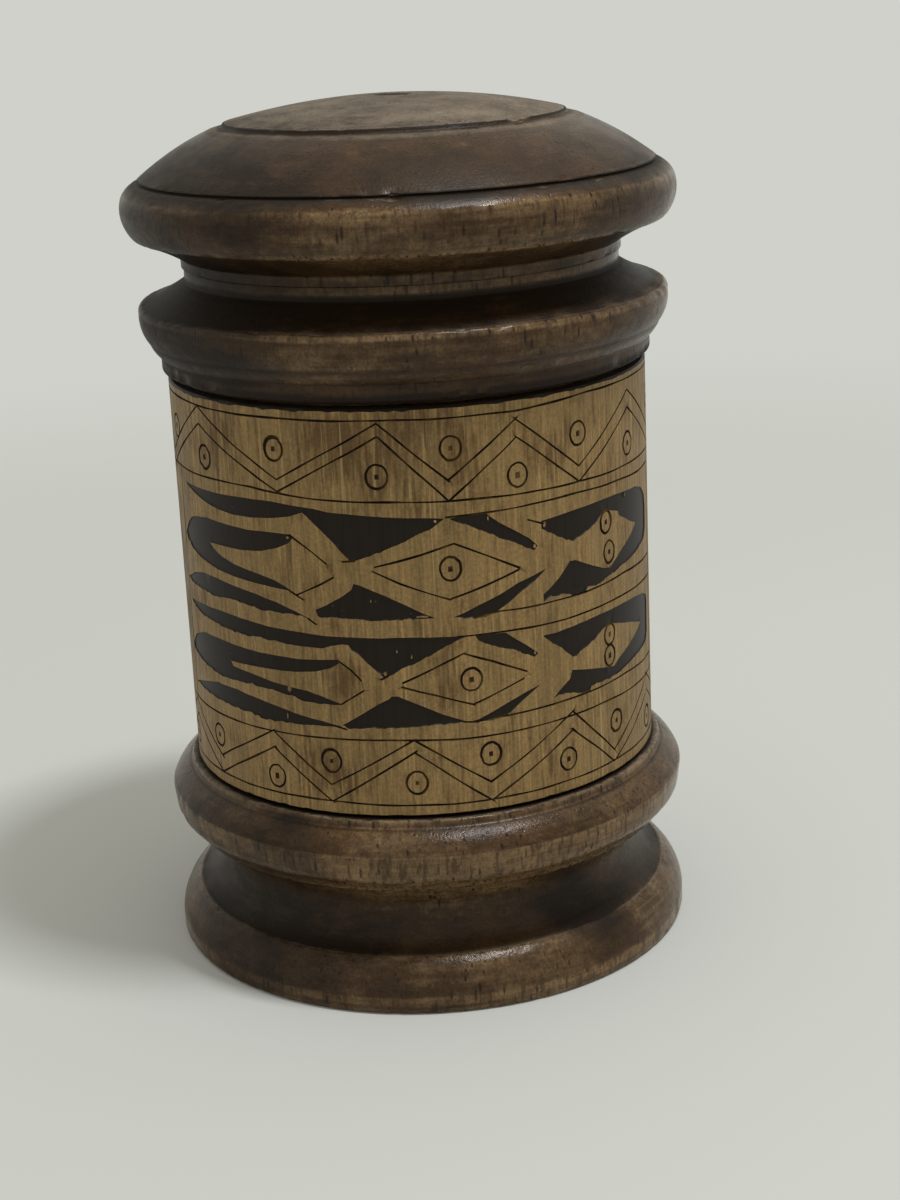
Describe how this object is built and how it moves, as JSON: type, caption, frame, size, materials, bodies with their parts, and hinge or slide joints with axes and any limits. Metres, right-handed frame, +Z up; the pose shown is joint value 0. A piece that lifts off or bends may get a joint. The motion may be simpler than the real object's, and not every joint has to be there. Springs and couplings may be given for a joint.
{
  "type": "turned wooden box",
  "caption": "Round lidded box: a bamboo tube on a turned foot, closed by a turned lid whose spigot drops into its mouth.",
  "frame": {"origin": "centre of the foot's rim, on the surface that the box stands on", "axes": "+Z up along the turning axis; the side with the two figures in the picture faces -Y"},
  "size_m": [0.0962, 0.0962, 0.15],
  "materials": {
    "dark_wood": "dark stained, waxed and worn",
    "bamboo": "scraped and smoked bamboo, engraved"
  },
  "bodies": {
    "base": {"foot": "dark_wood", "bamboo_tube": "bamboo"},
    "cover": {"lid": "dark_wood"}
  },
  "joints": [
    {"name": "lid_lift", "type": "slide", "parent": "base", "child": "cover", "axis": [0, 0, 1], "range_m": [0, 0.06]}
  ]
}
